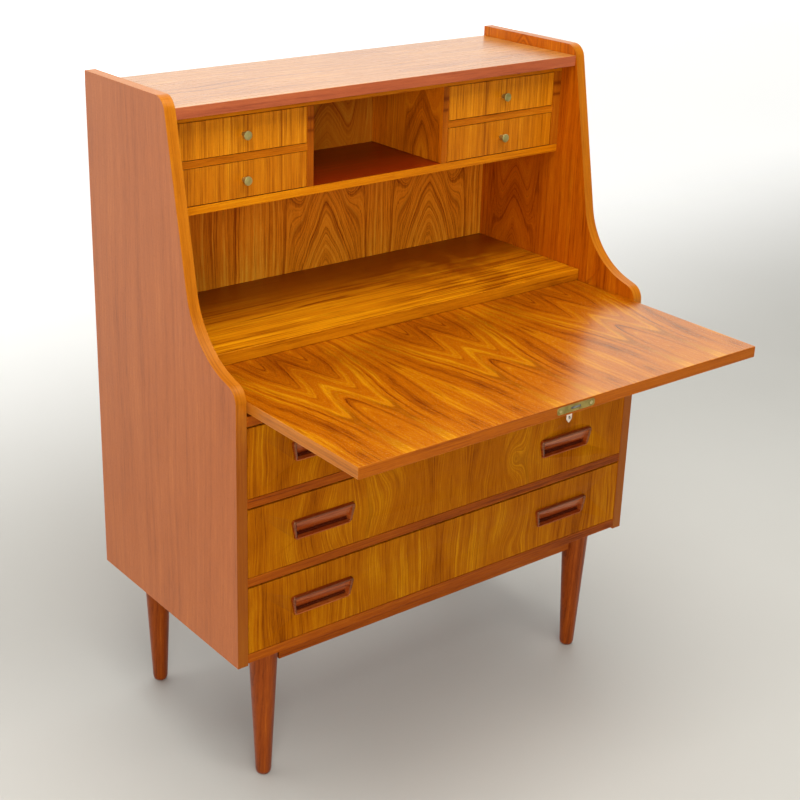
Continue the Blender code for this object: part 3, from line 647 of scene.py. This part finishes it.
def metal(name, colour, tarnish, roughness, seed):
    """Aged metal: patches of tarnish, fine scratches and a little unevenness."""
    made, tree, shader = surface(name)
    x, y, z = place(tree)
    patches = noise(x * 90.0, y * 90.0, z * 90.0 + seed, detail=2.0)
    scratches = noise(x * 500.0, y * 500.0, z * 3000.0, detail=1.0)
    colour = blend(tree, patches.step(0.35, 0.7), colour, tarnish)
    tree.links.new(colour.socket, shader.inputs["Base Color"])
    shader.inputs["Metallic"].default_value = 1.0
    rough = (patches - 0.5) * 0.2 + ((scratches - 0.5) * 0.12 + roughness)
    tree.links.new(rough.socket, shader.inputs["Roughness"])
    relief(tree, shader, patches * 0.6 + scratches * 0.4, 0.00003)
    return made


BRASS = metal("brass_aged", srgb(196, 176, 104), srgb(160, 142, 78), 0.50, 1.0)
SCREW_BRASS = metal("brass_screws", srgb(236, 220, 160), srgb(210, 190, 120), 0.34, 4.0)
KNOB_BRASS = metal("brass_knobs", srgb(196, 190, 128), srgb(170, 164, 104), 0.62, 3.0)
IRON = metal("iron_dark", srgb(30, 26, 24), srgb(20, 17, 15), 0.7, 7.0)
STEEL = metal("steel_worn", srgb(170, 168, 162), srgb(120, 118, 112), 0.36, 5.0)


def bone_material(name, axis, face):
    """Bone, with painted shade inside its keyhole, where the place along an axis is past the face."""
    made, tree, shader = surface(name)
    x, y, z = place(tree)
    mottle = noise(x * 300.0, y * 300.0, z * 300.0, detail=2.0)
    colour = blend(tree, mottle, srgb(250, 240, 224), srgb(240, 222, 198))
    depth = (x, y, z)[axis] - face
    # painted shade: the walls inside the keyhole are near black
    colour = blend(tree, depth.step(0.0002, 0.0006), colour, srgb(26, 16, 10))
    tree.links.new(colour.socket, shader.inputs["Base Color"])
    shader.inputs["Roughness"].default_value = 0.35
    relief(tree, shader, mottle, 0.00002)
    return made


def rubber_material():
    made, tree, shader = surface("rubber_dark")
    x, y, z = place(tree)
    grit = noise(x * 2500.0, y * 2500.0, z * 2500.0, detail=2.0)
    colour = blend(tree, grit, srgb(34, 18, 12), srgb(58, 34, 24))
    tree.links.new(colour.socket, shader.inputs["Base Color"])
    shader.inputs["Roughness"].default_value = 0.7
    relief(tree, shader, grit, 0.00004)
    return made


DRAWER_BONE = bone_material("bone_drawer", 1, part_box("drawer_escutcheon")[0].y)
FLAP_BONE = bone_material("bone_flap", 2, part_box("flap_escutcheon")[0].z)
RUBBER = rubber_material()

# ---------------------------------------------------------------- dressing the CAD nodes


# the axis that a face looks along, and which way
LOOKS = {
    "left": (0, -1),
    "right": (0, 1),
    "front": (1, -1),
    "down": (2, -1),
    "up": (2, 1),
}


def dress(node, material, **faces):
    """Gives a CAD node its material, with others for the faces that look along an axis, such as up=...
    Its triangles are welded for smooth shading; its points stay where they are."""
    obj = NODES[node]
    mesh = obj.data
    mesh.materials.clear()
    mesh.materials.append(material)
    rules = []
    for name, other in faces.items():
        rules.append((*LOOKS[name], len(mesh.materials)))
        mesh.materials.append(other)
    for polygon in mesh.polygons:
        polygon.material_index = 0
        for axis, sign, index in rules:
            if polygon.normal[axis] * sign > 0.9:
                polygon.material_index = index
    if "custom_normal" in mesh.attributes:
        mesh.attributes.remove(mesh.attributes["custom_normal"])
    mesh.shade_smooth()
    weld = obj.modifiers.new("weld", "WELD")
    weld.merge_threshold = 0.00001
    return obj


def soften(obj, width):
    """Rounds a CAD node's sharp edges."""
    rounded = obj.modifiers.new("rounded_edges", "BEVEL")
    rounded.width = width
    rounded.segments = 2
    rounded.limit_method = "ANGLE"
    rounded.angle_limit = math.radians(50)
    rounded.harden_normals = True


def crisp(obj):
    """Keeps broad faces flat to the eye, with the rounding only along their edges."""
    weighted = obj.modifiers.new("flat_faces", "WEIGHTED_NORMAL")
    weighted.weight = 100


for side, inner in (("left", "right"), ("right", "left")):
    crisp(dress(f"side_{side}", WOODS["edge"], **{side: WOODS["side"], inner: WOODS["inner"]}))
crisp(dress("top_board", WOODS["top_edge"], up=WOODS["top"], down=WOODS["organiser"]))
crisp(dress("back_panel", WOODS["rear"], front=WOODS["back"]))
crisp(dress("deck", WOODS["deck_edge"], up=WOODS["deck"], down=WOODS["deck"]))
crisp(dress("ledge_board", WOODS["solid"], up=WOODS["ledge"]))
flap_ends = WOODS["lipping_y"]
flap_faces = {"up": WOODS["flap"], "down": WOODS["under"], "left": flap_ends, "right": flap_ends}
crisp(dress("flap_panel", WOODS["lipping"], **flap_faces))
for name in ("bottom_board", "drawer_frame_lower", "drawer_frame_upper"):
    soften(dress(name, WOODS["solid"]), 0.0006)
for name in ("apron_front", "apron_rear", "apron_left", "apron_right"):
    soften(dress(name, WOODS["solid"]), 0.0006)
for row in ("front", "rear"):
    for hand in ("left", "right"):
        soften(dress(f"leg_{row}_{hand}", WOODS["leg"]), 0.0004)
soften(dress("organiser_base", WOODS["organiser"], up=WOODS["red"]), 0.0004)
soften(dress("organiser_top", WOODS["organiser"]), 0.0004)
for hand in ("left", "right"):
    soften(dress(f"organiser_shelf_{hand}", WOODS["shelf"]), 0.0004)
    for part, wall in (("divider", WOODS["niche"]), ("side", WOODS["inner"])):
        soften(dress(f"organiser_{part}_{hand}", WOODS["end"], left=wall, right=wall), 0.0004)
    for level in ("upper", "lower"):
        crisp(dress(f"small_front_{level}_{hand}", WOODS[f"small_{level}"]))
        soften(dress(f"small_tray_{level}_{hand}", WOODS["box"]), 0.0004)
        crisp(dress(f"knob_{level}_{hand}", KNOB_BRASS))
for level in ("top", "middle", "bottom"):
    crisp(dress(f"drawer_front_{level}", WOODS[f"front_{level}"]))
    soften(dress(f"drawer_box_{level}", WOODS["box"]), 0.0005)
for name in ("flap_lock", "strike_plate", "drawer_lock_bolt"):
    soften(dress(name, BRASS), 0.0002)
for name in ("flap_lock_bolt", "pivot_pin_left", "pivot_pin_right"):
    soften(dress(name, STEEL), 0.0002)
soften(dress("drawer_lock", IRON), 0.0002)
soften(dress("drawer_escutcheon", DRAWER_BONE), 0.0002)
soften(dress("flap_escutcheon", FLAP_BONE), 0.0002)

# ---------------------------------------------------------------- sculpted pulls

PULL_TOP_HALF = 0.0640
PULL_BOTTOM_HALF = 0.0560
PULL_HALF_HEIGHT = 0.0185
PULL_CORNER = 0.0062
PULL_CREST = 0.0050  # how far the rim stands proud of the drawer
LIP_CREST = 0.0014
RIM_WIDTH = 0.0062
LIP_WIDTH = 0.0026
FLOOR_TOP_DEPTH = -0.0012  # depth of the sloping floor at its upper edge
FLOOR_LOW_DEPTH = 0.0095
PULL_REACH = 0.0115  # depth of its back in the drawer front
SHARPEST_CORNER = 0.0016  # radius
CORNER_STEPS = 8
RIM_STEPS = 8
# how far past the rim each ring of the hollow's wall is, and its share of the way down to the floor
WALL_RINGS = ((0.0006, 0.25), (0.0014, 0.62), (0.0022, 0.90), (0.0032, 1.0))


def pull_loop(inset):
    """The pull's outline drawn in by a distance, as (across, up) points in a fixed order."""
    top, low = PULL_HALF_HEIGHT - inset, -PULL_HALF_HEIGHT + inset
    slope = (PULL_TOP_HALF - PULL_BOTTOM_HALF) / (2 * PULL_HALF_HEIGHT)

    def half(up):
        return PULL_BOTTOM_HALF + (up + PULL_HALF_HEIGHT) * slope - inset

    radius = max(PULL_CORNER - inset, SHARPEST_CORNER)
    corners = [(half(low), low), (half(top), top), (-half(top), top), (-half(low), low)]
    points = []
    for i, corner in enumerate(corners):
        before, after = corners[i - 1], corners[(i + 1) % 4]
        to_before = math.atan2(before[1] - corner[1], before[0] - corner[0])
        to_after = math.atan2(after[1] - corner[1], after[0] - corner[0])
        spread = (to_before - to_after) % (2 * math.pi)
        bisector = to_after + spread / 2
        reach = radius / math.sin(spread / 2)
        centre = (corner[0] + reach * math.cos(bisector), corner[1] + reach * math.sin(bisector))
        sweep = math.pi - spread
        start = bisector + math.pi - sweep / 2
        for step in range(CORNER_STEPS + 1):
            angle = start + sweep * step / CORNER_STEPS
            points.append((centre[0] + radius * math.cos(angle), centre[1] + radius * math.sin(angle)))
    return points


def pull_mesh():
    """A closed shell: a rounded rim, walls that slope to a floor, and a thin lip at the bottom."""
    solid = bmesh.new()
    foot = [min(1.0, max(0.0, (-up / PULL_HALF_HEIGHT - 0.55) / 0.35)) for _, up in pull_loop(0.0)]
    foot = [f * f * (3 - 2 * f) for f in foot]  # 0 at the top and sides, 1 at the bottom
    loops = []

    def add_loop(across_rim, depth_rule):
        """across_rim runs from 0 outside to 1 at the rim's inner edge, and on in metres."""
        row = []
        for i, share in enumerate(foot):
            rim = RIM_WIDTH + share * (LIP_WIDTH - RIM_WIDTH)
            inset = rim * min(across_rim, 1.0) + max(across_rim - 1.0, 0.0)
            across, up = pull_loop(inset)[i]
            row.append(solid.verts.new((across, depth_rule(up, share), up)))
        loops.append(row)

    def crest(share):
        return PULL_CREST + share * (LIP_CREST - PULL_CREST)

    def floor_depth(up):
        floor_top = PULL_HALF_HEIGHT - RIM_WIDTH - 0.002
        fall = (floor_top - up) / (2 * PULL_HALF_HEIGHT - RIM_WIDTH - 0.006)
        return FLOOR_TOP_DEPTH + fall * (FLOOR_LOW_DEPTH - FLOOR_TOP_DEPTH)

    add_loop(0.0, lambda up, share: PULL_REACH)
    add_loop(0.0, lambda up, share: 0.0)
    for turn in range(RIM_STEPS + 1):
        angle = math.pi * turn / RIM_STEPS
        across_rim = 0.5 - 0.5 * math.cos(angle)
        height = 0.30 + 0.70 * math.sin(angle)
        add_loop(across_rim, lambda up, share, height=height: -crest(share) * height)
    for extra, down in WALL_RINGS:
        add_loop(
            1.0 + extra,
            lambda up, share, down=down: -0.3 * crest(share) * (1 - down) + floor_depth(up) * down,
        )
    for first, second in zip(loops, loops[1:]):
        for i in range(len(first)):
            j = (i + 1) % len(first)
            solid.faces.new((first[i], first[j], second[j], second[i]))
    solid.faces.new(loops[-1])
    solid.faces.new(list(reversed(loops[0])))
    bmesh.ops.recalc_face_normals(solid, faces=solid.faces)
    mesh = bpy.data.meshes.new("pull")
    solid.to_mesh(mesh)
    solid.free()
    mesh.shade_smooth()
    mesh.set_sharp_from_angle(angle=math.radians(42))
    mesh.materials.append(WOODS["pull"])
    return mesh


def link(name, data):
    obj = bpy.data.objects.new(name, data)
    bpy.context.scene.collection.objects.link(obj)
    return obj


PULL = pull_mesh()
for level in ("top", "middle", "bottom"):
    for hand in ("left", "right"):
        node = f"pull_{level}_{hand}"
        low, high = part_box(node)
        mesh = PULL.copy()
        mesh.transform(Matrix.Translation(((low.x + high.x) / 2, FACE_Y, (low.z + high.z) / 2)))
        pull = link(f"{node}_carved", mesh)
        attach(pull, f"drawer_{level}")
        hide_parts(node)

# ---------------------------------------------------------------- small fittings

SCREW_RADIUS = 0.0030
SCREW_CROWN = 0.00035
SCREW_SLOT = 0.0006
SCREW_INSET = 0.0075  # from the end of the lock plate
SCREW_SIDES = 32


def turned(name, profile, material):
    """A turned piece about its local Z, from (radius, height) pairs listed from the axis at the top."""
    solid = bmesh.new()
    angles = [2 * math.pi * i / SCREW_SIDES for i in range(SCREW_SIDES)]
    rows = []
    for radius, height in profile:
        if radius == 0.0:
            rows.append([solid.verts.new((0.0, 0.0, height))])
            continue
        row = [(radius * math.cos(a), radius * math.sin(a), height) for a in angles]
        rows.append([solid.verts.new(point) for point in row])
    for first, second in zip(rows, rows[1:]):
        for i in range(SCREW_SIDES):
            j = (i + 1) % SCREW_SIDES
            ring = [first[i % len(first)], first[j % len(first)]]
            ring += [second[j % len(second)], second[i % len(second)]]
            solid.faces.new(list(dict.fromkeys(ring)))
    bmesh.ops.recalc_face_normals(solid, faces=solid.faces)
    mesh = bpy.data.meshes.new(name)
    solid.to_mesh(mesh)
    solid.free()
    mesh.shade_smooth()
    mesh.set_sharp_from_angle(angle=math.radians(40))
    mesh.materials.append(material)
    return mesh


def screw_mesh(turn):
    """A slotted countersunk screw head that faces the front, its slot turned by an angle."""
    rim, crown, foot = SCREW_RADIUS, SCREW_CROWN, -0.001
    head = [(0.0, crown), (rim * 0.6, crown * 0.8), (rim * 0.92, crown * 0.3)]
    head += [(rim, 0.0), (rim, foot), (0.0, foot)]
    holder = link("screw_blank", turned("screw", head, SCREW_BRASS))
    slot_mesh = bpy.data.meshes.new("screw_slot")
    slot = bmesh.new()
    bmesh.ops.create_cube(slot, size=1.0)
    bmesh.ops.scale(slot, vec=(3 * rim, SCREW_SLOT, 2 * crown), verts=slot.verts)
    bmesh.ops.rotate(slot, matrix=Matrix.Rotation(turn, 3, "Z"), verts=slot.verts)
    bmesh.ops.translate(slot, vec=(0.0, 0.0, crown * 0.9), verts=slot.verts)
    slot.to_mesh(slot_mesh)
    slot.free()
    cutter = link("screw_cutter", slot_mesh)
    groove = holder.modifiers.new("slot", "BOOLEAN")
    groove.operation = "DIFFERENCE"
    groove.object = cutter
    bpy.context.view_layer.update()
    graph = bpy.context.evaluated_depsgraph_get()
    made = bpy.data.meshes.new_from_object(holder.evaluated_get(graph))
    bpy.data.objects.remove(holder)
    bpy.data.objects.remove(cutter)
    made.transform(Matrix.Rotation(math.radians(90), 4, "X"))
    return made


lock_low, lock_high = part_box("flap_lock")
screws = (("left", lock_low.x + SCREW_INSET, 0.5), ("right", lock_high.x - SCREW_INSET, -0.9))
for hand, x, turn in screws:
    mesh = screw_mesh(turn)
    mesh.transform(Matrix.Translation((x, lock_low.y, (lock_low.z + lock_high.z) / 2)))
    screw = link(f"lock_screw_{hand}", mesh)
    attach(screw, "flap")

BUMPER = (0.0058, 0.0090, 0.0016)  # width, depth, height
BUMPER_ROUND = 0.0005
BUMPER_SETBACK = 0.008  # from the front of the top board to its middle
BUMPER_PLACES = (("inner", 0.286), ("outer", 0.376))
board_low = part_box("top_board")[0]
for hand, x in BUMPER_PLACES:
    solid = bmesh.new()
    bmesh.ops.create_cube(solid, size=1.0)
    bmesh.ops.scale(solid, vec=BUMPER, verts=solid.verts)
    edges = list(solid.edges)
    bmesh.ops.bevel(solid, geom=edges, offset=BUMPER_ROUND, segments=3, profile=0.5, affect="EDGES")
    centre = (x, board_low.y + BUMPER_SETBACK, board_low.z - BUMPER[2] / 2)
    bmesh.ops.translate(solid, vec=centre, verts=solid.verts)
    mesh = bpy.data.meshes.new("bumper")
    solid.to_mesh(mesh)
    solid.free()
    mesh.shade_smooth()
    mesh.materials.append(RUBBER)
    pad = link(f"bumper_{hand}", mesh)
    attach(pad, "case")

# ---------------------------------------------------------------- floor, light and camera


BACKDROP_Y = 5.5
GLOW_FROM_TO = (0.7, 2.6)  # how far back the floor starts to brighten, and where it has
FLOOR_GLOW = 0.55


def floor_material():
    """Pale and plain, and brighter far behind the desk, where it meets the backdrop."""
    made, tree, shader = surface("floor_pale")
    x, y, _ = place(tree)
    clouds = noise(x * 1.1, y * 1.1, 0.0, detail=4.0)
    colour = blend(tree, clouds, srgb(182, 181, 174), srgb(193, 192, 186))
    tree.links.new(colour.socket, shader.inputs["Base Color"])
    shader.inputs["Roughness"].default_value = 0.6
    shader.inputs["Emission Color"].default_value = WHITE
    glow = y.step(*GLOW_FROM_TO, 0.0, FLOOR_GLOW)
    tree.links.new(glow.socket, shader.inputs["Emission Strength"])
    return made


def backdrop_material():
    made, _, shader = surface("backdrop_white")
    shader.inputs["Base Color"].default_value = (0.8, 0.8, 0.8, 1.0)
    shader.inputs["Emission Color"].default_value = WHITE
    shader.inputs["Emission Strength"].default_value = 1.0
    return made


def stage_sheet(name, size, matrix, material):
    mesh = bpy.data.meshes.new(name)
    sheet = bmesh.new()
    bmesh.ops.create_grid(sheet, x_segments=1, y_segments=1, size=size, matrix=matrix)
    sheet.to_mesh(mesh)
    sheet.free()
    mesh.materials.append(material)
    link(name, mesh)


stage_sheet("floor", 40.0, Matrix.Identity(4), floor_material())
upright = Matrix.Translation((0.0, BACKDROP_Y, 0.0)) @ Matrix.Rotation(math.radians(90), 4, "X")
stage_sheet("backdrop", 30.0, upright, backdrop_material())


SOFTBOX = (2.6, 2.2)
WARM = (1.0, 0.98, 0.95)


def softbox(name, location, target, power):
    """A wide soft lamp that looks from its location to a target."""
    data = bpy.data.lights.new(name, "AREA")
    data.shape = "RECTANGLE"
    data.size, data.size_y = SOFTBOX
    data.energy = power
    data.color = WARM
    lamp = link(name, data)
    lamp.location = location
    direction = Vector(target) - Vector(location)
    lamp.rotation_euler = direction.to_track_quat("-Z", "Y").to_euler()
    lamp.visible_camera = False


softbox("ceiling", (-0.2, -1.0, 3.3), (0.0, -0.1, 0.7), 110.0)
softbox("front", (-2.6, -4.0, 2.0), (0.0, 0.0, 0.6), 125.0)

world = bpy.data.worlds.new("studio")
bpy.context.scene.world = world
world.use_nodes = True
sky = world.node_tree.nodes["Background"]
sky.inputs["Color"].default_value = (1.0, 0.99, 0.97, 1.0)
sky.inputs["Strength"].default_value = 0.12
bpy.context.scene.view_settings.view_transform = "Standard"

camera_data = bpy.data.cameras.new("camera")
camera_data.sensor_width = 36.0
camera_data.lens = 68.68
camera_data.shift_x = 0.0754
camera_data.shift_y = -0.0332
camera = link("camera", camera_data)
camera.location = (-1.5806, -1.8707, 1.6332)
camera.rotation_euler = [math.radians(degrees) for degrees in (67.9918, -0.9490, -36.3642)]
bpy.context.scene.camera = camera
